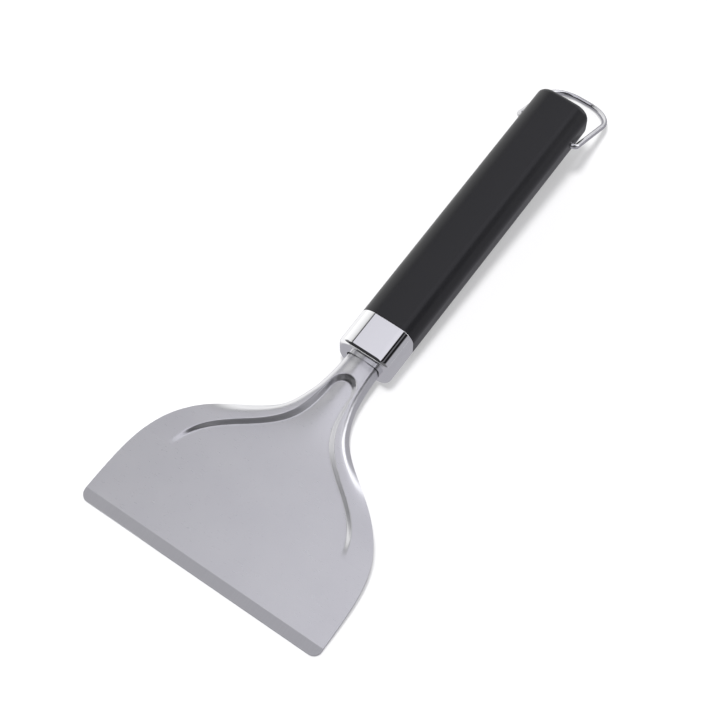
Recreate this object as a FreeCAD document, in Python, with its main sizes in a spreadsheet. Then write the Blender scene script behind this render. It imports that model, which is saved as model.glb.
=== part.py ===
"""Grill spatula: pressed steel blade, polished collar, black handle and a swinging hanging ring.

Every piece is drawn in the tool frame: X runs back from the middle of the front edge along the
tool, Y runs across it to the left, and Z = 0 is the underside of the flat blade.  The whole tool
is then laid down as it rests on a worktop, on its front edge and on the underside of the collar,
with the tail of the handle raised and the hanging ring swung down until it touches the worktop.
"""
import FreeCAD, Part
import Sketcher

import math
import os

from FreeCAD import Placement, Rotation, Vector

os.makedirs("parts", exist_ok=True)
doc = FreeCAD.newDocument("grill_spatula")

# ---------------------------------------------------------------------------------------------
# Driving dimensions, in millimetres and degrees
# ---------------------------------------------------------------------------------------------
DIMENSIONS = [
    ("blade_width", 127.0, "full width of the blade"),
    ("sheet_gauge", 2.0, "thickness of the blade's steel sheet"),
    ("edge_gauge", 0.7, "thickness left at the sharpened front edge"),
    ("bevel_length", 5.0, "ground bevel behind the front edge"),
    ("corner_radius", 4.0, "rounded front corners of the blade"),
    ("shoulder_place", 72.4, "where the outline is halfway from blade to neck"),
    ("shoulder_front_run", 10.9, "how gently the outline leaves the blade"),
    ("shoulder_back_run", 10.0, "how gently the outline reaches the neck"),
    ("neck_width", 16.4, "width of the arched neck"),
    ("tongue_width", 9.4, "width of the flat tongue where it enters the neck"),
    ("tongue_spread", 84.0, "extra width of the flat tongue far out on the blade"),
    ("tongue_place", 68.4, "where the tongue has lost half of that width"),
    ("tongue_run", 8.0, "how gently the tongue narrows"),
    ("tongue_end", 111.5, "where the tongue ends in the neck"),
    ("step_width", 2.6, "width of the steep step from the tongue up to the shoulders"),
    ("tip_step", 3.4, "length of that step at the tongue's end"),
    ("rib_start", 42.0, "where the raised shoulders begin"),
    ("rib_full", 70.0, "where the raised shoulders reach their height"),
    ("rib_rise", 3.0, "height of the shoulders and neck over the flat blade"),
    ("neck_crown", 0.6, "crown across the top of the neck"),
    ("flange_start", 64.0, "where the turned-down rim begins"),
    ("flange_full", 99.0, "where the rim is turned fully down"),
    ("flange_depth", 4.2, "straight part of the turned-down rim"),
    ("flange_angle", 84.0, "angle of the turned-down rim at the neck"),
    ("flange_bend", 2.6, "outer bend radius of the turned-down rim"),
    ("neck_seat", 10.0, "length of neck held inside the collar"),
    ("handle_width", 28.0, "width of the handle and collar"),
    ("handle_height", 21.8, "height of the handle and collar"),
    ("handle_rise", 1.8, "height of the handle's axis over the blade's underside"),
    ("section_radius", 7.5, "rounding of the handle's four long edges"),
    ("section_crown", 0.35, "outward bow of each side of the handle"),
    ("collar_front", 123.5, "front face of the collar"),
    ("collar_length", 19.5, "length of the collar"),
    ("collar_wall", 0.9, "wall of the collar"),
    ("collar_fillet", 2.6, "rounded front rim of the collar"),
    ("neck_clearance", 0.15, "gap round the neck in the collar's mouth"),
    ("grip_length", 147.0, "length of the black grip"),
    ("grip_wall", 2.4, "wall of the black grip"),
    ("grip_end_fillet", 2.8, "rounded end of the grip"),
    ("rim_break", 0.3, "rounding of the edges where the collar and the grip meet"),
    ("core_clearance", 0.05, "gap between the core and what encloses it"),
    ("tang_width", 8.0, "width of the tang"),
    ("tang_gauge", 3.0, "thickness of the tang"),
    ("tang_lead", 7.0, "how far the tang reaches ahead of the collar, under the neck"),
    ("tang_length", 116.0, "length of the tang"),
    ("tang_clearance", 0.05, "gap round the tang under the neck and in its slot"),
    ("pin_diameter", 4.0, "pins that hold the tang in the core"),
    ("pin_first", 22.0, "from the collar's back end to the first pin"),
    ("pin_pitch", 45.0, "distance between the pins"),
    ("ring_setback", 15.5, "from the handle's tail to the ring's cross hole"),
    ("ring_wire", 2.6, "diameter of the ring's wire"),
    ("ring_clearance", 0.2, "gap round the wire in the cross hole"),
    ("ring_side_gap", 0.9, "gap between the handle's side and the ring's leg"),
    ("ring_length", 45.0, "from the cross hole to the ring's far bar, on the wire's centre"),
    ("ring_corner", 13.5, "bend radius of the ring's far corners"),
    ("ring_elbow", 2.3, "bend radius where a leg turns into the cross hole"),
    ("ring_pin_length", 9.0, "length of wire inside each side of the handle"),
]

dims = doc.addObject("Spreadsheet::Sheet", "dims")
for row, (alias, number, note) in enumerate(DIMENSIONS, start=1):
    dims.set("A%d" % row, note)
    dims.set("B%d" % row, str(number))
    dims.setAlias("B%d" % row, alias)
doc.recompute()


def dim(alias):
    """The number that a named cell of the sheet holds."""
    return float(getattr(dims, alias))


# ---------------------------------------------------------------------------------------------
# The tool at rest
# ---------------------------------------------------------------------------------------------
def rest_pitch():
    """Angle of the tool when its front edge and the collar's rounded lower rim are on a plane."""
    rim_x = dim("collar_front") + dim("collar_fillet")
    rim_z = dim("handle_rise") - dim("handle_height") / 2 + dim("collar_fillet")
    to_rim = math.hypot(rim_x, rim_z)
    return math.atan2(-rim_z, rim_x) + math.asin(dim("collar_fillet") / to_rim)


TOUCH = 1e-3            # places closer than this count as the same
NECK_END = dim("collar_front") + dim("neck_seat")
CORE_START = NECK_END + dim("neck_clearance")
GRIP_START = dim("collar_front") + dim("collar_length")
TANG_START = dim("collar_front") - dim("tang_lead")
RING_X = GRIP_START + dim("grip_length") - dim("ring_setback")

PITCH = rest_pitch()
PIVOT_X = RING_X * math.cos(PITCH) - dim("handle_rise") * math.sin(PITCH)
PIVOT_Z = RING_X * math.sin(PITCH) + dim("handle_rise") * math.cos(PITCH)
RING_DROOP = math.asin((PIVOT_Z - dim("ring_wire") / 2) / dim("ring_length"))
FRONT_X = -dim("edge_gauge") * math.sin(PITCH)
BACK_X = PIVOT_X + dim("ring_length") * math.cos(RING_DROOP) + dim("ring_wire") / 2
MIDDLE_X = (FRONT_X + BACK_X) / 2

REST = Placement(Vector(-MIDDLE_X, 0, 0), Rotation(Vector(0, 1, 0), -math.degrees(PITCH)))


def resting(x=0.0, z=0.0):
    """Placement of a piece whose own origin is at (x, 0, z) of the tool frame."""
    return REST.multiply(Placement(Vector(x, 0, z), Rotation()))


# ---------------------------------------------------------------------------------------------
# Helpers for bodies and sketches
# ---------------------------------------------------------------------------------------------
def new_body(name):
    """A PartDesign body whose label names its file."""
    body = doc.addObject("PartDesign::Body", name)
    body.Label = name
    return body


def new_sketch(body, name, role, offset="0"):
    """A sketch on one of the body's own origin planes, moved along that plane's normal."""
    sketch = body.newObject("Sketcher::SketchObject", name)
    origin_plane = [feature for feature in body.Origin.OriginFeatures if feature.Role == role][0]
    sketch.AttachmentSupport = [(origin_plane, "")]
    sketch.MapMode = "FlatFace"
    sketch.setExpression("AttachmentOffset.Base.z", offset)
    return sketch


def fix(sketch, kind, places, expression):
    """Add one driving constraint and bind it to the sheet."""
    index = sketch.addConstraint(Sketcher.Constraint(kind, *places))
    sketch.setExpression("Constraints[%d]" % index, expression)


def meeting_point(first_centre, first_reach, second_centre, second_reach):
    """Where two circles cross, on the side of larger Y and Z; the centres lie on the two axes."""
    gap = second_centre.sub(first_centre)
    along = (gap.Length ** 2 + first_reach ** 2 - second_reach ** 2) / (2 * gap.Length)
    aside = math.sqrt(first_reach ** 2 - along ** 2)
    direction = Vector(gap).normalize()
    normal = Vector(-direction.y, direction.x, 0)
    points = [first_centre + direction * along + normal * aside * sign for sign in (1, -1)]
    return max(points, key=lambda point: point.x + point.y)


def rounded_box(sketch, width, height, bow, radius):
    """Closed outline of four slightly bowed sides with tangent rounded corners.

    All four sizes are expressions.  The outline is centred on the sketch's origin, and width and
    height are measured over the bows.
    """
    half_width = sketch.evalExpression("(%s) / 2" % width)
    half_height = sketch.evalExpression("(%s) / 2" % height)
    corner = sketch.evalExpression(radius)
    top_radius_text = "(((%s) / 2) ^ 2 + (%s) ^ 2) / (2 * (%s))" % (width, bow, bow)
    side_radius_text = "(((%s) / 2) ^ 2 + (%s) ^ 2) / (2 * (%s))" % (height, bow, bow)
    top_radius = sketch.evalExpression(top_radius_text)
    side_radius = sketch.evalExpression(side_radius_text)
    top_centre = Vector(0, half_height - top_radius, 0)
    side_centre = Vector(half_width - side_radius, 0, 0)
    centre = meeting_point(top_centre, top_radius - corner, side_centre, side_radius - corner)
    on_top = top_centre + (centre - top_centre).normalize() * top_radius
    on_side = side_centre + (centre - side_centre).normalize() * side_radius
    on_corner = centre + (centre - (top_centre + side_centre) * 0.5).normalize() * corner

    def flip(point, y_sign, z_sign):
        return Vector(point.x * y_sign, point.y * z_sign, 0)

    # Counter-clockwise: right side, top right corner, top, top left corner and so on.
    arcs = [
        (flip(on_side, 1, -1), Vector(half_width, 0, 0), on_side),
        (on_side, on_corner, on_top),
        (on_top, Vector(0, half_height, 0), flip(on_top, -1, 1)),
        (flip(on_top, -1, 1), flip(on_corner, -1, 1), flip(on_side, -1, 1)),
        (flip(on_side, -1, 1), Vector(-half_width, 0, 0), flip(on_side, -1, -1)),
        (flip(on_side, -1, -1), flip(on_corner, -1, -1), flip(on_top, -1, -1)),
        (flip(on_top, -1, -1), Vector(0, -half_height, 0), flip(on_top, 1, -1)),
        (flip(on_top, 1, -1), flip(on_corner, 1, -1), flip(on_side, 1, -1)),
    ]
    for start, middle, end in arcs:
        sketch.addGeometry(Part.Arc(start, middle, end), False)
    for index in range(8):
        sketch.addConstraint(Sketcher.Constraint("Tangent", index, 2, (index + 1) % 8, 1))
    across = "(%s) / 2 - %s" % (width, side_radius_text)
    upright = "(%s) / 2 - %s" % (height, top_radius_text)
    for index, y_text, z_text in ((0, across, "0"), (2, "0", upright), (4, "-(%s)" % across, "0"),
                                  (6, "0", "-(%s)" % upright)):
        fix(sketch, "DistanceX", (-1, 1, index, 3, sketch.evalExpression(y_text)), y_text)
        fix(sketch, "DistanceY", (-1, 1, index, 3, sketch.evalExpression(z_text)), z_text)
    for index in range(8):
        text = radius if index % 2 else (top_radius_text if index in (2, 6) else side_radius_text)
        fix(sketch, "Radius", (index, sketch.Geometry[index].Radius), text)


def edges_where(shape, wanted):
    """Names of the edges of a shape whose middle point passes a test."""
    names = []
    for index, edge in enumerate(shape.Edges, start=1):
        middle = edge.valueAt((edge.FirstParameter + edge.LastParameter) / 2)
        if wanted(middle, edge):
            names.append("Edge%d" % index)
    return names


def runs_along_x(edge):
    """True for a straight edge that is parallel to X."""
    ends = edge.Vertexes[-1].Point.sub(edge.Vertexes[0].Point)
    return edge.Curve.TypeId == "Part::GeomLine" and abs(ends.x) > 0.99 * ends.Length


def round_edges(body, name, wanted, radius):
    """Fillet the chosen edges of the body's last feature."""
    doc.recompute()
    base = body.Tip
    fillet = body.newObject("PartDesign::Fillet", name)
    fillet.Base = (base, edges_where(base.Shape, wanted))
    fillet.setExpression("Radius", radius)
    body.Tip = fillet
    return fillet


def extrude(body, sketch, name, length, kind="Pad"):
    """Pad a sketch forward along its normal, or pocket it in the same direction."""
    feature = body.newObject("PartDesign::" + kind, name)
    feature.Profile = sketch
    feature.setExpression("Length", length)
    feature.Reversed = kind == "Pocket"
    body.Tip = feature
    return feature


def fixed_circle(sketch, centre_x, centre_y, diameter):
    """A circle whose centre and diameter are expressions."""
    place = Vector(sketch.evalExpression(centre_x), sketch.evalExpression(centre_y), 0)
    radius = sketch.evalExpression(diameter) / 2
    index = sketch.addGeometry(Part.Circle(place, Vector(0, 0, 1), radius), False)
    fix(sketch, "DistanceX", (-1, 1, index, 3, place.x), centre_x)
    fix(sketch, "DistanceY", (-1, 1, index, 3, place.y), centre_y)
    fix(sketch, "Diameter", (index, 2 * radius), diameter)


def fixed_polygon(sketch, corners):
    """Closed outline of straight sides; each corner is a pair of expressions."""
    points = [Vector(sketch.evalExpression(x), sketch.evalExpression(y), 0) for x, y in corners]
    count = len(points)
    for index in range(count):
        sketch.addGeometry(Part.LineSegment(points[index], points[(index + 1) % count]), False)
    for index in range(count):
        sketch.addConstraint(Sketcher.Constraint("Coincident", index, 2, (index + 1) % count, 1))
    for index, (x, y) in enumerate(corners):
        fix(sketch, "DistanceX", (-1, 1, index, 1, points[index].x), x)
        fix(sketch, "DistanceY", (-1, 1, index, 1, points[index].y), y)


# ---------------------------------------------------------------------------------------------
# Blade: one pressed sheet, from the front edge to the neck's end inside the collar
# ---------------------------------------------------------------------------------------------
RISE_SHARE = 0.9        # part of a narrow shoulder that the step may take
FOLD_SHARE = 0.25       # part of the step that each of its two folds takes
OUTLINE_BLEND = 18.0    # length over which the outline changes from one run to the other
DEGREE = 3              # of the skins' smooth faces
STRIP_PARTS = 5         # tongue, slope, shoulder, bend and flange make up half a section
BEND_LENGTH = dim("flange_bend") * math.radians(dim("flange_angle"))
LEVEL = 1e-6            # a rim turned down by less than this, in radians, is flat
FLAT_PARTS = 6          # steps along each side of the flat front
PRESSED_PARTS = 20      # steps along the shoulders
TIP_PARTS = 28          # steps along the tongue's end
NECK_PARTS = 5          # steps along the plain neck


def ease(place, start, end):
    """Rise from 0 at start to 1 at end, level at both."""
    share = min(max((place - start) / (end - start), 0.0), 1.0)
    return share * share * (3 - 2 * share)


def fade(place, middle, run):
    """Fall from 1 to 0 in a long S about a middle place."""
    return 1 / (1 + math.exp((place - middle) / run))


def climb(share):
    """Rise from 0 to 1 along a straight slope between two equal folds."""
    slope = 1 / (1 - FOLD_SHARE)
    share = min(max(share, 0.0), 1.0)
    if share < FOLD_SHARE:
        return slope * share ** 2 / (2 * FOLD_SHARE)
    if share > 1 - FOLD_SHARE:
        return 1 - slope * (1 - share) ** 2 / (2 * FOLD_SHARE)
    return slope * (share - FOLD_SHARE / 2)


def half_outline(x):
    """Half-width of the sheet's outline."""
    place = dim("shoulder_place")
    front_run = dim("shoulder_front_run")
    back_run = dim("shoulder_back_run")
    run = front_run + (back_run - front_run) * ease(x, place - OUTLINE_BLEND, place + OUTLINE_BLEND)
    neck = dim("neck_width") / 2
    return neck + (dim("blade_width") / 2 - neck) * fade(x, place, run)


def half_tongue(x):
    """Half-width of the flat middle of the blade."""
    spread = dim("tongue_spread") * fade(x, dim("tongue_place"), dim("tongue_run"))
    return (dim("tongue_width") + spread) / 2


def flange_turn(x):
    """Angle of the turned-down rim, in radians."""
    return math.radians(dim("flange_angle")) * ease(x, dim("flange_start"), dim("flange_full"))


def bend_point(angle, share):
    """How far out and down a bend through an angle has gone after a share of its length."""
    if angle < LEVEL:
        return BEND_LENGTH * share, 0.0
    radius = BEND_LENGTH / angle
    return radius * math.sin(angle * share), radius * (1 - math.cos(angle * share))


def bend_start(x):
    """Half-width at which the rim begins to turn down."""
    angle = flange_turn(x)
    return half_outline(x) - bend_point(angle, 1.0)[0] - dim("flange_depth") * math.cos(angle)


def side_step(x):
    """Width of the step beside the tongue: narrower where the shoulder is narrow."""
    room = RISE_SHARE * (bend_start(x) - half_tongue(x))
    return (room ** -3 + dim("step_width") ** -3) ** (-1 / 3)


def sheet_height(x, y):
    """Height of the upper face between the two bends."""
    tip_centre = dim("tongue_end") - half_tongue(dim("tongue_end"))
    beyond = max(x - tip_centre, 0.0)
    reach = math.hypot(beyond, y)
    endwise = (beyond / reach) ** 2 if beyond > 0 else 0.0
    width = side_step(x) + (dim("tip_step") - side_step(x)) * endwise
    rise = dim("rib_rise") * ease(x, dim("rib_start"), dim("rib_full"))
    crown = dim("neck_crown") * ease(x, dim("flange_start"), dim("flange_full"))
    height = dim("sheet_gauge") + rise * climb((reach - half_tongue(x)) / width)
    return height - crown * ease(y, 0.0, bend_start(x))


def half_section(x, step):
    """Upper and lower point (y, z) of half a section; step runs from 0 in the middle to 5 at the rim."""
    stop = bend_start(x)
    tongue = half_tongue(x)
    gauge = dim("sheet_gauge")
    knots = [0.0, tongue, tongue + side_step(x), stop]
    if step <= 3:
        part = min(int(step), 2)
        y = knots[part] + (knots[part + 1] - knots[part]) * (step - part)
        z = sheet_height(x, y)
        return (y, z), (y, z - gauge)
    full = flange_turn(x)
    share = min(step - 3, 1.0)
    turned = full * share
    out, down = bend_point(full, share)
    straight = dim("flange_depth") * max(step - 4, 0.0)
    y = stop + out + straight * math.cos(turned)
    z = sheet_height(x, stop) - down - straight * math.sin(turned)
    return (y, z), (y - gauge * math.sin(turned), z - gauge * math.cos(turned))


def section_steps():
    """Places along half a section, closer together where it curves more."""
    shares = [
        [0.0, 0.15, 0.3, 0.44, 0.57, 0.69, 0.8, 0.89, 0.95],
        [0.0, 0.1, 0.2, 0.33, 0.5, 0.67, 0.8, 0.9],
        [0.0, 0.1, 0.25, 0.5, 0.75],
        [0.0, 0.2, 0.4, 0.6, 0.8],
        [0.0, 0.5],
    ]
    steps = [part + share for part in range(STRIP_PARTS) for share in shares[part]]
    return steps + [STRIP_PARTS]


def evenly(start, end, parts):
    """Places from start up to, but not at, end, in equal parts."""
    return [start + (end - start) * share / parts for share in range(parts)]


def stations():
    """Places of the sections along the pressed part of the sheet."""
    tip_start = dim("tongue_end") - 2 * half_tongue(dim("tongue_end"))
    tip_end = dim("tongue_end") + dim("tip_step") + dim("sheet_gauge") / 2
    places = evenly(dim("rib_start"), tip_start, PRESSED_PARTS)
    places += evenly(tip_start, tip_end, TIP_PARTS)
    return places + evenly(tip_end, NECK_END, NECK_PARTS) + [NECK_END]


def spline_knots(count):
    """Knots of a smooth curve over some control points that starts and ends at the outer two."""
    inner = count - DEGREE
    return list(range(inner + 1)), [DEGREE + 1] + [1] * (inner - 1) + [DEGREE + 1]


def skin(side):
    """Smooth face over all sections: side 0 is the upper face, side 1 the lower one."""
    steps = section_steps()
    rows = []
    for x in stations():
        half = [half_section(x, step)[side] for step in steps]
        across = [(-y, z) for y, z in reversed(half[1:])] + half
        rows.append([Vector(x, y, z) for y, z in across])
    along_knots, along_counts = spline_knots(len(rows))
    across_knots, across_counts = spline_knots(len(rows[0]))
    surface = Part.BSplineSurface()
    surface.buildFromPolesMultsKnots(rows, along_counts, across_counts, along_knots, across_knots,
                                     False, False, DEGREE, DEGREE)
    return surface


def between(top, bottom):
    """The narrow upright face between two edges."""
    return Part.makeRuledSurface(top, bottom)


def pressed_edges(surface):
    """Edges of a skin: at its front, at the neck's end, on the right and on the left."""
    first_u, last_u, first_v, last_v = surface.bounds()
    curves = [surface.uIso(first_u), surface.uIso(last_u), surface.vIso(first_v), surface.vIso(last_v)]
    return [curve.toShape() for curve in curves]


def flat_edges(z):
    """Edges of the flat front of the sheet at one height: the front one, the right one and the left one."""
    places = evenly(0.0, dim("rib_start"), FLAT_PARTS) + [dim("rib_start")]
    sides = []
    for side in (-1, 1):
        curve = Part.BSplineCurve()
        curve.interpolate([Vector(x, side * half_outline(x), z) for x in places])
        sides.append(curve.toShape())
    front = Part.makeLine(Vector(0, -half_outline(0), z), Vector(0, half_outline(0), z))
    return [front] + sides


def flat_face(seam, edges):
    """Flat face of the sheet between its front and the seam where the pressed part begins."""
    return Part.Face(Part.Wire(Part.__sortEdges__([seam] + edges)))


def bevel_tool():
    """What is ground off above the bevel."""
    half = dim("blade_width")
    gauge = dim("sheet_gauge")
    slope = (gauge - dim("edge_gauge")) / dim("bevel_length")
    outline = [(0, dim("edge_gauge")), (dim("bevel_length") + gauge, gauge + slope * gauge),
               (-gauge, gauge + slope * gauge), (-gauge, dim("edge_gauge"))]
    corners = [Vector(x, -half, z) for x, z in outline]
    return Part.Face(Part.makePolygon(corners + corners[:1])).extrude(Vector(0, 2 * half, 0))


def is_front_corner(edge):
    """True for the two short upright edges at the front corners of the sheet."""
    middle = edge.valueAt((edge.FirstParameter + edge.LastParameter) / 2)
    return abs(middle.x) < TOUCH and abs(middle.y) > half_outline(0) - TOUCH


def blade_shape():
    """The pressed sheet with its ground bevel and rounded corners."""
    upper, lower = skin(0), skin(1)
    upper_pressed, lower_pressed = pressed_edges(upper), pressed_edges(lower)
    upper_flat, lower_flat = flat_edges(dim("sheet_gauge")), flat_edges(0.0)
    faces = [upper.toShape(), lower.toShape()]
    faces += [flat_face(upper_pressed[0], upper_flat), flat_face(lower_pressed[0], lower_flat)]
    for top, bottom in zip(upper_pressed[1:] + upper_flat, lower_pressed[1:] + lower_flat):
        faces.append(between(top, bottom))
    shell = Part.makeShell(faces)
    shell.sewShape()
    sheet = Part.makeSolid(shell)
    if sheet.Volume < 0:
        sheet.reverse()
    corners = [edge for edge in sheet.Edges if is_front_corner(edge)]
    return sheet.makeFillet(dim("corner_radius"), corners).cut(bevel_tool())


blade = doc.addObject("Part::Feature", "blade")
blade.Label = "blade"
blade.Shape = blade_shape()
blade.Placement = resting()


# ---------------------------------------------------------------------------------------------
# Collar: polished cup round the neck and the front of the core
# ---------------------------------------------------------------------------------------------
def handle_section(body, name, inset="0", start="0"):
    """Sketch of the handle's section, smaller by an inset all round."""
    sketch = new_sketch(body, name, "YZ_Plane", start)
    width = "dims.handle_width - 2 * (%s)" % inset
    height = "dims.handle_height - 2 * (%s)" % inset
    rounded_box(sketch, width, height, "dims.section_crown", "dims.section_radius - (%s)" % inset)
    return sketch


def at_place(place):
    """Test for the edges in one upright plane across a body."""
    return lambda middle, edge: abs(middle.x - place) < TOUCH


def make_collar():
    """Deep-drawn collar with a mouth for the neck in its front wall."""
    body = new_body("collar")
    extrude(body, handle_section(body, "collar_outline"), "collar_block", "dims.collar_length")
    round_edges(body, "collar_front_rim", at_place(0), "dims.collar_fillet")
    round_edges(body, "collar_back_rim", at_place(dim("collar_length")), "dims.rim_break")
    hollow = handle_section(body, "collar_hollow_outline", "dims.collar_wall", "dims.collar_wall")
    extrude(body, hollow, "collar_hollow", "dims.collar_length", "Pocket")
    x = dim("collar_front")
    gap = dim("neck_clearance")
    rise = dim("handle_rise")
    half = half_outline(x) + gap
    crest = sheet_height(x, 0) + gap - rise
    shoulder = sheet_height(x, bend_start(x)) + gap - rise
    foot = half_section(x, STRIP_PARTS)[1][1] - gap - rise
    mouth = new_sketch(body, "collar_mouth_outline", "YZ_Plane")
    corners = [Vector(-half, foot, 0), Vector(half, foot, 0), Vector(half, shoulder, 0),
               Vector(-half, shoulder, 0)]
    for index in (0, 1, 3):
        mouth.addGeometry(Part.LineSegment(corners[index], corners[(index + 1) % 4]), False)
    mouth.addGeometry(Part.Arc(corners[2], Vector(0, crest, 0), corners[3]), False)
    extrude(body, mouth, "collar_mouth", "dims.collar_wall + dims.collar_fillet", "Pocket")

    def at_shoulder(middle, edge):
        at_height = abs(middle.z - shoulder) < TOUCH
        return at_height and abs(abs(middle.y) - half) < TOUCH and runs_along_x(edge)

    round_edges(body, "collar_mouth_corners", at_shoulder, "dims.flange_bend + dims.neck_clearance")
    body.Placement = resting(dim("collar_front"), dim("handle_rise"))
    return body


# ---------------------------------------------------------------------------------------------
# Handle: hard core round the tang, inside the black grip
# ---------------------------------------------------------------------------------------------
PIN_COUNT = 2
NECK_UNDERSIDE = sheet_height(NECK_END, dim("tang_width") / 2) - dim("sheet_gauge")
TANG_TOP = NECK_UNDERSIDE - dim("tang_clearance")


def make_grip():
    """Black sleeve, closed and rounded at its tail, with the ring's hole through both sides."""
    body = new_body("grip")
    extrude(body, handle_section(body, "grip_outline"), "grip_block", "dims.grip_length")
    round_edges(body, "grip_tail_rim", at_place(dim("grip_length")), "dims.grip_end_fillet")
    round_edges(body, "grip_front_rim", at_place(0), "dims.rim_break")
    hollow = handle_section(body, "grip_hollow_outline", "dims.grip_wall")
    extrude(body, hollow, "grip_hollow", "dims.grip_length - dims.grip_wall", "Pocket")
    cross_hole(body, "grip_cross_hole", "dims.grip_length - dims.ring_setback")
    body.Placement = resting(GRIP_START, dim("handle_rise"))
    return body


def cross_hole(body, name, place):
    """Hole across a body for the two ends of the ring, at a place along the body."""
    sketch = new_sketch(body, name + "_outline", "XZ_Plane", "dims.handle_width")
    fixed_circle(sketch, place, "0", "dims.ring_wire + 2 * dims.ring_clearance")
    feature = extrude(body, sketch, name, "2 * dims.handle_width", "Pocket")
    feature.Reversed = False


def make_core():
    """Moulded core: a spigot in the collar, a long block in the grip and a slot for the tang."""
    body = new_body("handle_core")
    shoulder = "dims.collar_length - dims.neck_seat - dims.neck_clearance"
    collar_inset = "dims.collar_wall + dims.core_clearance"
    grip_inset = "dims.grip_wall + dims.core_clearance"
    extrude(body, handle_section(body, "core_spigot_outline", collar_inset), "core_spigot", shoulder)
    block = handle_section(body, "core_block_outline", grip_inset, shoulder)
    extrude(body, block, "core_block", "dims.grip_length - dims.grip_wall - dims.core_clearance")
    slot = new_sketch(body, "core_slot_outline", "YZ_Plane")
    half = "dims.tang_width / 2 + dims.tang_clearance"
    low = "%s - dims.handle_rise - dims.tang_gauge - dims.tang_clearance" % TANG_TOP
    high = "%s - dims.handle_rise + dims.tang_clearance" % TANG_TOP
    fixed_polygon(slot, [("-(%s)" % half, low), (half, low), (half, high), ("-(%s)" % half, high)])
    behind_front = "dims.tang_length - dims.tang_lead + dims.tang_clearance"
    extrude(body, slot, "core_slot", behind_front + " - dims.neck_seat - dims.neck_clearance", "Pocket")
    pin_holes(body, "core_pin_holes", shoulder)
    cross_hole(body, "core_cross_hole", shoulder + " + dims.grip_length - dims.ring_setback")
    body.Placement = resting(CORE_START, dim("handle_rise"))
    return body


def pin_holes(body, name, collar_end):
    """Upright holes for the pins; collar_end is the place along the body of the collar's back end."""
    sketch = new_sketch(body, name + "_outline", "XY_Plane", "dims.handle_height")
    for index in range(PIN_COUNT):
        place = "%s + dims.pin_first + %d * dims.pin_pitch" % (collar_end, index)
        fixed_circle(sketch, place, "0", "dims.pin_diameter")
    feature = extrude(body, sketch, name, "2 * dims.handle_height", "Pocket")
    feature.Reversed = False


# ---------------------------------------------------------------------------------------------
# Tang and its pins
# ---------------------------------------------------------------------------------------------
def make_tang():
    """Flat bar spot-welded under the neck, running back into the core."""
    body = new_body("tang")
    outline = new_sketch(body, "tang_outline", "XY_Plane")
    half = "dims.tang_width / 2"
    fixed_polygon(outline, [("0", "-" + half), ("dims.tang_length", "-" + half), ("dims.tang_length", half),
                            ("0", half)])
    extrude(body, outline, "tang_bar", "dims.tang_gauge")
    pin_holes(body, "tang_pin_holes", "dims.tang_lead + dims.collar_length")
    body.Placement = resting(TANG_START, TANG_TOP - dim("tang_gauge"))
    return body


def make_pins():
    """Steel pins driven upright through the core and the tang, one solid each."""
    inset = dim("grip_wall") + 2 * dim("core_clearance")
    pins = []
    for index in range(PIN_COUNT):
        pin = doc.addObject("Part::Cylinder", "pin_%d" % (index + 1))
        pin.setExpression("Radius", "dims.pin_diameter / 2")
        pin.setExpression("Height", "dims.handle_height - 2 * %s" % inset)
        pin.setExpression("Placement.Base.x", "%d * dims.pin_pitch" % index)
        pins.append(pin)
    group = doc.addObject("Part::Compound", "tang_pins")
    group.Label = "tang_pins"
    group.Links = pins
    foot = dim("handle_rise") - dim("handle_height") / 2 + inset
    group.Placement = resting(GRIP_START + dim("pin_first"), foot)
    return group


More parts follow.
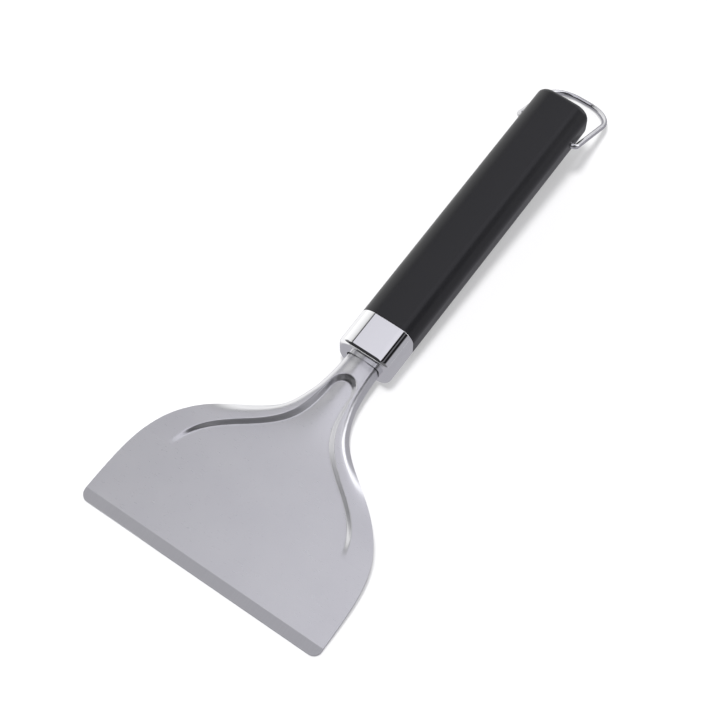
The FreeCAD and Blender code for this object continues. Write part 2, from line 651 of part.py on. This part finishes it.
# ---------------------------------------------------------------------------------------------
# Hanging ring: one bent wire whose two ends turn inwards into the cross hole
# ---------------------------------------------------------------------------------------------
def ring_path(body):
    """Centre line of the wire, from the end in the right side of the handle to the left one."""
    leg = "dims.handle_width / 2 + dims.ring_side_gap + dims.ring_wire / 2"
    tip = "dims.handle_width / 2 - dims.ring_pin_length"
    path = new_sketch(body, "ring_path", "XY_Plane")
    leg_y = path.evalExpression(leg)
    tip_y = path.evalExpression(tip)
    elbow = dim("ring_elbow")
    corner = dim("ring_corner")
    length = dim("ring_length")
    # Each bend: start, centre and end of a quarter turn to the left.
    bends = [
        (Vector(0, elbow - leg_y, 0), Vector(elbow, elbow - leg_y, 0), Vector(elbow, -leg_y, 0), elbow),
        (Vector(length - corner, -leg_y, 0), Vector(length - corner, corner - leg_y, 0),
         Vector(length, corner - leg_y, 0), corner),
        (Vector(length, leg_y - corner, 0), Vector(length - corner, leg_y - corner, 0),
         Vector(length - corner, leg_y, 0), corner),
        (Vector(elbow, leg_y, 0), Vector(elbow, leg_y - elbow, 0), Vector(0, leg_y - elbow, 0), elbow),
    ]
    last = Vector(0, -tip_y, 0)
    for start, centre, end, radius in bends:
        outward = ((start + end) * 0.5 - centre).normalize() * radius
        path.addGeometry(Part.LineSegment(last, start), False)
        path.addGeometry(Part.Arc(start, centre + outward, end), False)
        last = end
    path.addGeometry(Part.LineSegment(last, Vector(0, tip_y, 0)), False)
    for index in range(8):
        path.addConstraint(Sketcher.Constraint("Tangent", index, 2, index + 1, 1))
    path.addConstraint(Sketcher.Constraint("Vertical", 0))
    path.addConstraint(Sketcher.Constraint("Vertical", 4))
    path.addConstraint(Sketcher.Constraint("Vertical", 8))
    path.addConstraint(Sketcher.Constraint("Horizontal", 2))
    path.addConstraint(Sketcher.Constraint("Horizontal", 6))
    for index, name in ((1, "ring_elbow"), (3, "ring_corner"), (5, "ring_corner"), (7, "ring_elbow")):
        fix(path, "Radius", (index, dim(name)), "dims." + name)
    places = [
        ("DistanceX", 0, 1, "0"), ("DistanceY", 0, 1, "-(%s)" % tip),
        ("DistanceY", 2, 1, "-(%s)" % leg), ("DistanceX", 4, 1, "dims.ring_length"),
        ("DistanceY", 6, 1, leg), ("DistanceX", 8, 2, "0"), ("DistanceY", 8, 2, tip),
    ]
    for kind, index, end, text in places:
        fix(path, kind, (-1, 1, index, end, path.evalExpression(text)), text)
    return path


def make_ring():
    """Wire ring, drawn flat with the cross hole's axis on its own Y."""
    body = new_body("hanging_ring")
    path = ring_path(body)
    wire_section = new_sketch(body, "ring_wire_outline", "XZ_Plane",
                              "dims.handle_width / 2 - dims.ring_pin_length")
    fixed_circle(wire_section, "0", "0", "dims.ring_wire")
    doc.recompute()
    pipe = body.newObject("PartDesign::AdditivePipe", "ring_bent_wire")
    pipe.Profile = wire_section
    pipe.Spine = (path, [])
    body.Tip = pipe
    pivot = resting(RING_X, dim("handle_rise")).Base
    body.Placement = Placement(pivot, Rotation(Vector(0, 1, 0), math.degrees(RING_DROOP)))
    return body


def check_document(pieces):
    """Stop if any object failed, or if any piece is missing or broken."""
    doc.recompute()
    for item in doc.Objects:
        if "Invalid" in item.State or "Error" in item.State:
            raise RuntimeError("%s failed: %s" % (item.Label, item.State))
    for piece in pieces:
        if piece.Shape.isNull() or not piece.Shape.isValid() or not piece.Shape.Solids:
            raise RuntimeError("%s has no valid solid" % piece.Label)


pieces = [blade, make_collar(), make_grip(), make_core(), make_tang(), make_pins(), make_ring()]
check_document(pieces)
for piece in pieces:
    piece.Shape.exportStep("parts/%s.step" % piece.Label)
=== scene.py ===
"""Grill spatula: looks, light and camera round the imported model.  Metres, in the part's own frame."""
import math

import bpy
from mathutils import Matrix, Vector


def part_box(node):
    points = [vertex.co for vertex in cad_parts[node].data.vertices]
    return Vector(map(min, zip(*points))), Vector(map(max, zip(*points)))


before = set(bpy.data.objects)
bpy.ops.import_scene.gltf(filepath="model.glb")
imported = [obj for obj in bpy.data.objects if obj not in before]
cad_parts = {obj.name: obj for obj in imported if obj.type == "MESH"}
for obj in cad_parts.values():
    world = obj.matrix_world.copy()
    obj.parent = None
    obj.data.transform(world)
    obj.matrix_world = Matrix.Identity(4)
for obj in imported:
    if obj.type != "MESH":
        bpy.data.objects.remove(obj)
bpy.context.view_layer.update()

MM = 0.001
BEVEL_LENGTH = 5.0 * MM     # ground bevel behind the blade's front edge
BEVEL_LINE = 0.1 * MM       # half width of the line where the bevel's finish begins

# Two tones of each finish, blended by its grain
FLAT_TONES = ((0.80, 0.80, 0.82), (0.83, 0.83, 0.845))
BEVEL_TONES = ((0.66, 0.66, 0.68), (0.78, 0.78, 0.80))
CHROME_TONES = ((0.90, 0.90, 0.92), (0.94, 0.94, 0.945))
GRIP_TONES = ((0.006, 0.006, 0.0075), (0.009, 0.009, 0.0105))
WIRE_TONES = ((0.62, 0.62, 0.64), (0.74, 0.74, 0.755))
CORE_TONES = ((0.03, 0.03, 0.033), (0.045, 0.045, 0.048))
MILL_TONES = ((0.40, 0.40, 0.42), (0.54, 0.54, 0.55))

# Lowest and highest roughness of each finish
FLAT_ROUGHNESS = (0.27, 0.34)
BEVEL_ROUGHNESS = (0.40, 0.50)
CHROME_ROUGHNESS = (0.03, 0.07)
GRIP_ROUGHNESS = (0.30, 0.38)
GRIP_WEAR = (-0.02, 0.03)   # change of the grip's roughness in larger patches
WIRE_ROUGHNESS = (0.10, 0.18)
CORE_ROUGHNESS = (0.5, 0.6)
MILL_ROUGHNESS = (0.36, 0.5)


# ---------------------------------------------------------------------------------------------
# Small tools for node trees
# ---------------------------------------------------------------------------------------------
def new_material(name):
    """A material and its principled shader."""
    material = bpy.data.materials.new(name)
    material.use_nodes = True
    return material, material.node_tree.nodes["Principled BSDF"]


def feed(tree, source, socket):
    """Set a socket to a number, or link another socket to it."""
    if isinstance(source, (int, float)):
        socket.default_value = source
    else:
        tree.links.new(source, socket)


def math_node(tree, operation, first, second=0.0, clamp=False):
    node = tree.nodes.new("ShaderNodeMath")
    node.operation = operation
    node.use_clamp = clamp
    feed(tree, first, node.inputs[0])
    feed(tree, second, node.inputs[1])
    return node.outputs[0]


def span(tree, value, from_low, from_high, to_low=0.0, to_high=1.0):
    """Value moved smoothly from one range to another, and held at its ends."""
    node = tree.nodes.new("ShaderNodeMapRange")
    node.interpolation_type = "SMOOTHSTEP"
    feed(tree, value, node.inputs["Value"])
    limits = (from_low, from_high, to_low, to_high)
    for name, limit in zip(("From Min", "From Max", "To Min", "To Max"), limits):
        feed(tree, limit, node.inputs[name])
    return node.outputs["Result"]


def blend_colours(tree, factor, first, second):
    """Colour that goes from the first to the second one as the factor goes from 0 to 1."""
    node = tree.nodes.new("ShaderNodeMix")
    node.data_type = "RGBA"
    feed(tree, factor, node.inputs["Factor"])
    for socket, colour in ((node.inputs["A"], first), (node.inputs["B"], second)):
        if isinstance(colour, tuple):
            socket.default_value = (*colour, 1.0)
        else:
            tree.links.new(colour, socket)
    return node.outputs["Result"]


def place_on_piece(tree):
    """Place on the surface, in metres, in the part's own frame."""
    return tree.nodes.new("ShaderNodeTexCoord").outputs["Object"]


def axes_of(tree, vector):
    node = tree.nodes.new("ShaderNodeSeparateXYZ")
    tree.links.new(vector, node.inputs[0])
    return node.outputs


def noise(tree, grain, stretch=(1, 1, 1), detail=2.0):
    """Noise whose grain is a length in metres, stretched along the axes."""
    mapping = tree.nodes.new("ShaderNodeMapping")
    mapping.inputs["Scale"].default_value = [1 / (grain * share) for share in stretch]
    texture = tree.nodes.new("ShaderNodeTexNoise")
    texture.inputs["Scale"].default_value = 1.0
    texture.inputs["Detail"].default_value = detail
    tree.links.new(place_on_piece(tree), mapping.inputs["Vector"])
    tree.links.new(mapping.outputs["Vector"], texture.inputs["Vector"])
    return texture.outputs["Fac"]


def add_bump(tree, shader, height, depth, strength):
    """Surface relief of a depth in metres."""
    bump = tree.nodes.new("ShaderNodeBump")
    bump.inputs["Strength"].default_value = strength
    bump.inputs["Distance"].default_value = depth
    tree.links.new(height, bump.inputs["Height"])
    tree.links.new(bump.outputs["Normal"], shader.inputs["Normal"])


def dress(node, material):
    """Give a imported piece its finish."""
    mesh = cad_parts[node].data
    mesh.materials.clear()
    mesh.materials.append(material)


# ---------------------------------------------------------------------------------------------
# Finishes
# ---------------------------------------------------------------------------------------------
def blade_steel():
    """Satin stainless sheet with a fine rolled grain, and a darker bevel ground across it."""
    material, shader = new_material("blade_steel")
    tree = material.node_tree
    shader.inputs["Metallic"].default_value = 1.0
    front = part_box("blade")[0].x
    on_bevel = span(tree, axes_of(tree, place_on_piece(tree))["X"],
                    front + BEVEL_LENGTH + BEVEL_LINE, front + BEVEL_LENGTH - BEVEL_LINE)
    rolled = noise(tree, 0.16 * MM, (1, 30, 1))
    ground = noise(tree, 0.18 * MM, (40, 1, 40))
    cloud = noise(tree, 30 * MM)
    flat_colour = blend_colours(tree, span(tree, cloud, 0.3, 0.7), *FLAT_TONES)
    bevel_colour = blend_colours(tree, ground, *BEVEL_TONES)
    tree.links.new(blend_colours(tree, on_bevel, flat_colour, bevel_colour), shader.inputs["Base Color"])
    satin = span(tree, rolled, 0.2, 0.8, *FLAT_ROUGHNESS)
    rough = span(tree, ground, 0.2, 0.8, *BEVEL_ROUGHNESS)
    rougher = math_node(tree, "MULTIPLY", on_bevel, math_node(tree, "SUBTRACT", rough, satin))
    feed(tree, math_node(tree, "ADD", satin, rougher), shader.inputs["Roughness"])
    relief = span(tree, on_bevel, 0, 1, rolled, ground)
    add_bump(tree, shader, relief, 0.004 * MM, 0.35)
    return material


def collar_chrome():
    """Polished steel with a trace of polishing swirls."""
    material, shader = new_material("collar_chrome")
    tree = material.node_tree
    shader.inputs["Metallic"].default_value = 1.0
    haze = noise(tree, 1.6 * MM, detail=4.0)
    wave = noise(tree, 9 * MM)
    tree.links.new(blend_colours(tree, haze, *CHROME_TONES), shader.inputs["Base Color"])
    feed(tree, span(tree, haze, 0.3, 0.7, *CHROME_ROUGHNESS), shader.inputs["Roughness"])
    add_bump(tree, shader, wave, 0.02 * MM, 0.25)
    return material


def grip_black():
    """Black moulded plastic with a fine satin texture, a little glossier where hands rub it."""
    material, shader = new_material("grip_black")
    tree = material.node_tree
    pores = noise(tree, 0.22 * MM, detail=3.0)
    wear = noise(tree, 22 * MM)
    tree.links.new(blend_colours(tree, pores, *GRIP_TONES), shader.inputs["Base Color"])
    fine = span(tree, pores, 0.3, 0.7, *GRIP_ROUGHNESS)
    patches = span(tree, wear, 0.3, 0.7, *GRIP_WEAR)
    feed(tree, math_node(tree, "ADD", fine, patches), shader.inputs["Roughness"])
    add_bump(tree, shader, pores, 0.012 * MM, 0.4)
    return material


def drawn_wire():
    """Bright wire with fine drawing lines along the tool."""
    material, shader = new_material("drawn_wire")
    tree = material.node_tree
    shader.inputs["Metallic"].default_value = 1.0
    lines = noise(tree, 0.12 * MM, (30, 1, 1), 3.0)
    tree.links.new(blend_colours(tree, lines, *WIRE_TONES), shader.inputs["Base Color"])
    feed(tree, span(tree, lines, 0.25, 0.75, *WIRE_ROUGHNESS), shader.inputs["Roughness"])
    add_bump(tree, shader, lines, 0.003 * MM, 0.3)
    return material


def core_nylon():
    """Dark moulded nylon, matt, with a slight grain."""
    material, shader = new_material("core_nylon")
    tree = material.node_tree
    grain = noise(tree, 0.4 * MM, detail=3.0)
    tree.links.new(blend_colours(tree, grain, *CORE_TONES), shader.inputs["Base Color"])
    feed(tree, span(tree, grain, 0.3, 0.7, *CORE_ROUGHNESS), shader.inputs["Roughness"])
    add_bump(tree, shader, grain, 0.01 * MM, 0.4)
    return material


def mill_steel():
    """Hot-rolled bar as it comes from the mill, with darker patches of scale."""
    material, shader = new_material("mill_steel")
    tree = material.node_tree
    shader.inputs["Metallic"].default_value = 1.0
    scale = noise(tree, 3 * MM, detail=5.0)
    lines = noise(tree, 0.3 * MM, (25, 1, 1))
    patches = span(tree, scale, 0.35, 0.65)
    tree.links.new(blend_colours(tree, patches, *MILL_TONES), shader.inputs["Base Color"])
    feed(tree, span(tree, lines, 0.3, 0.7, *MILL_ROUGHNESS), shader.inputs["Roughness"])
    add_bump(tree, shader, lines, 0.01 * MM, 0.4)
    return material


# ---------------------------------------------------------------------------------------------
# Camera: long lens, looking down along the tool from ahead of the blade and a little to its right
# ---------------------------------------------------------------------------------------------
CAMERA_LENS = 100.0
SENSOR_WIDTH = 36.0
CAMERA_AIM = Vector((-0.0351, 0.0044, 0.0099))
CAMERA_DISTANCE = 0.8974
CAMERA_HEADING = math.radians(31.14)
CAMERA_PITCH = math.radians(60.25)
CAMERA_ROLL = math.radians(-4.82)
CLIP_START = 0.05


def add_camera():
    level = Vector((math.cos(CAMERA_HEADING), math.sin(CAMERA_HEADING), 0))
    forward = level * math.cos(CAMERA_PITCH) - Vector((0, 0, math.sin(CAMERA_PITCH)))
    right = forward.cross(Vector((0, 0, 1))).normalized()
    up = right.cross(forward)
    turned_up = up * math.cos(CAMERA_ROLL) + right * math.sin(CAMERA_ROLL)
    turned_right = forward.cross(turned_up)
    data = bpy.data.cameras.new("camera")
    data.lens = CAMERA_LENS
    data.sensor_width = SENSOR_WIDTH
    data.clip_start = CLIP_START
    camera = bpy.data.objects.new("camera", data)
    bpy.context.scene.collection.objects.link(camera)
    axes = Matrix((turned_right, turned_up, -forward)).transposed()
    camera.matrix_world = Matrix.Translation(CAMERA_AIM - forward * CAMERA_DISTANCE) @ axes.to_4x4()
    bpy.context.scene.camera = camera


# ---------------------------------------------------------------------------------------------
# Studio: a pale floor, strip boxes above the tool with dark gaps between them, and a soft key
# ---------------------------------------------------------------------------------------------
# Brightness seen from the tool at angles about its long axis: 0 is level to the left, 90 is
# straight up and 180 is level to the right.
STRIPS = [
    (0, 1.2), (25, 1.05), (50, 0.85), (62, 0.65), (65.5, 0.01), (70.3, 0.01), (71.5, 0.72), (84, 0.76),
    (108, 0.78), (111, 0.01), (121, 0.01), (124, 0.14), (129, 0.14), (132, 0.01), (144, 0.01),
    (152, 0.42), (180, 0.42),
]
NEUTRAL = (1.0, 1.0, 1.0)
COOL = (1.0, 0.99, 1.07)
COOL_FROM = 71                                          # strips beyond this angle are a little cooler
SIDE_BOX = Vector((0.85, -0.40, 0.35)).normalized()     # direction of the box behind the tool's right
SIDE_BOX_EDGE = (math.radians(30), math.radians(20))
SIDE_BOX_LIGHT = (1.5, 1.5, 1.55)
FAR_WALL_X = (-0.15, -0.45)                             # the wall ahead of the blade fades in forward
FAR_WALL_Z = (0.68, 0.45)                               # and downward between these directions
FAR_WALL_LIGHT = (0.16, 0.16, 0.165)
DARK_CORNER = Vector((-0.84, 0.22, 0.50)).normalized()  # unlit end of the room, ahead of the blade
DARK_CORNER_EDGE = (math.radians(33), math.radians(25))
DARK_CORNER_LIGHT = (0.035, 0.035, 0.037)


def lobe(tree, direction, axis, edge):
    """1 within a cone about an axis and 0 outside it; edge holds its outer and inner angles."""
    node = tree.nodes.new("ShaderNodeVectorMath")
    node.operation = "DOT_PRODUCT"
    tree.links.new(direction, node.inputs[0])
    node.inputs[1].default_value = axis
    return span(tree, node.outputs["Value"], math.cos(edge[0]), math.cos(edge[1]))


def add_studio():
    world = bpy.data.worlds.new("studio")
    bpy.context.scene.world = world
    world.use_nodes = True
    tree = world.node_tree
    direction = tree.nodes.new("ShaderNodeTexCoord").outputs["Generated"]
    x, y, z = axes_of(tree, direction)
    turn = math_node(tree, "ARCTAN2", z, y)
    ramp = tree.nodes.new("ShaderNodeValToRGB")
    stops = ramp.color_ramp.elements
    while len(stops) < len(STRIPS):
        stops.new(1.0)
    for stop, (angle, level) in zip(stops, STRIPS):
        stop.position = angle / 180
        tint = COOL if angle > COOL_FROM else NEUTRAL
        stop.color = (*[level * share for share in tint], 1)
    feed(tree, math_node(tree, "DIVIDE", turn, math.pi, True), ramp.inputs["Fac"])
    wall = math_node(tree, "MULTIPLY", span(tree, x, *FAR_WALL_X), span(tree, z, *FAR_WALL_Z))
    colour = blend_colours(tree, wall, ramp.outputs["Color"], FAR_WALL_LIGHT)
    corner = lobe(tree, direction, DARK_CORNER, DARK_CORNER_EDGE)
    colour = blend_colours(tree, corner, colour, DARK_CORNER_LIGHT)
    side = lobe(tree, direction, SIDE_BOX, SIDE_BOX_EDGE)
    colour = blend_colours(tree, side, colour, SIDE_BOX_LIGHT)
    tree.links.new(colour, tree.nodes["Background"].inputs["Color"])
    tree.nodes["Background"].inputs["Strength"].default_value = 1.0


FLOOR_REACH = 3.0               # from the tool to the floor's edges
FLOOR_COLOUR = (0.55, 0.55, 0.55, 1)
FLOOR_ROUGHNESS = 0.9
FLOOR_GLOW = 0.38               # keeps the paper white to the camera
FLOOR_EDGE_Y = (0.034, 0.018)   # across this band the floor's painted reflection goes from painted light to painted shade
FLOOR_LIT = (1.0, 1.0, 1.0)
FLOOR_SHADED = (0.42, 0.415, 0.45)


def add_floor():
    """White paper.  Metal sees a painted reflection of it: its left side painted lit and bright, its
    right side painted shade and dim.
    """
    reach = FLOOR_REACH
    corners = [(-reach, -reach, 0), (reach, -reach, 0), (reach, reach, 0), (-reach, reach, 0)]
    mesh = bpy.data.meshes.new("floor")
    mesh.from_pydata(corners, [], [(0, 1, 2, 3)])
    floor = bpy.data.objects.new("floor", mesh)
    bpy.context.scene.collection.objects.link(floor)
    material, shader = new_material("floor_paper")
    tree = material.node_tree
    shader.inputs["Base Color"].default_value = FLOOR_COLOUR
    shader.inputs["Roughness"].default_value = FLOOR_ROUGHNESS
    shader.inputs["Specular IOR Level"].default_value = 0.0
    shader.inputs["Emission Color"].default_value = (1, 1, 1, 1)
    rays = tree.nodes.new("ShaderNodeLightPath").outputs
    glow = math_node(tree, "MULTIPLY", rays["Is Camera Ray"], FLOOR_GLOW)
    feed(tree, glow, shader.inputs["Emission Strength"])
    # Glossy rays see this painted reflection, not the paper: painted light on the left side, painted
    # shade on the right.
    painted_floor_reflection = tree.nodes.new("ShaderNodeEmission")
    y = axes_of(tree, place_on_piece(tree))["Y"]
    shade = span(tree, y, *FLOOR_EDGE_Y)
    tree.links.new(blend_colours(tree, shade, FLOOR_LIT, FLOOR_SHADED), painted_floor_reflection.inputs["Color"])
    mix = tree.nodes.new("ShaderNodeMixShader")
    tree.links.new(rays["Is Glossy Ray"], mix.inputs["Fac"])
    tree.links.new(shader.outputs[0], mix.inputs[1])
    tree.links.new(painted_floor_reflection.outputs[0], mix.inputs[2])
    tree.links.new(mix.outputs[0], tree.nodes["Material Output"].inputs["Surface"])
    mesh.materials.append(material)


KEY_PLACE = (-0.10, 0.15, 1.5)
KEY_SIZE = 0.30
KEY_POWER = 18.0


def add_key_light():
    """Soft light high above, a little to the left and ahead; it leaves no glint in the metal."""
    data = bpy.data.lights.new("key", "AREA")
    data.shape = "RECTANGLE"
    data.size = KEY_SIZE
    data.size_y = KEY_SIZE
    data.energy = KEY_POWER
    light = bpy.data.objects.new("key", data)
    light.location = KEY_PLACE
    light.rotation_euler = light.location.to_track_quat("Z", "Y").to_euler()
    light.visible_glossy = False
    bpy.context.scene.collection.objects.link(light)


add_camera()
add_studio()
add_floor()
add_key_light()
bpy.context.scene.view_settings.view_transform = "Standard"

mill = mill_steel()
for node, material in (("blade", blade_steel()), ("collar", collar_chrome()), ("grip", grip_black()),
                       ("hanging_ring", drawn_wire()), ("handle_core", core_nylon()),
                       ("tang", mill), ("tang_pins", mill)):
    dress(node, material)
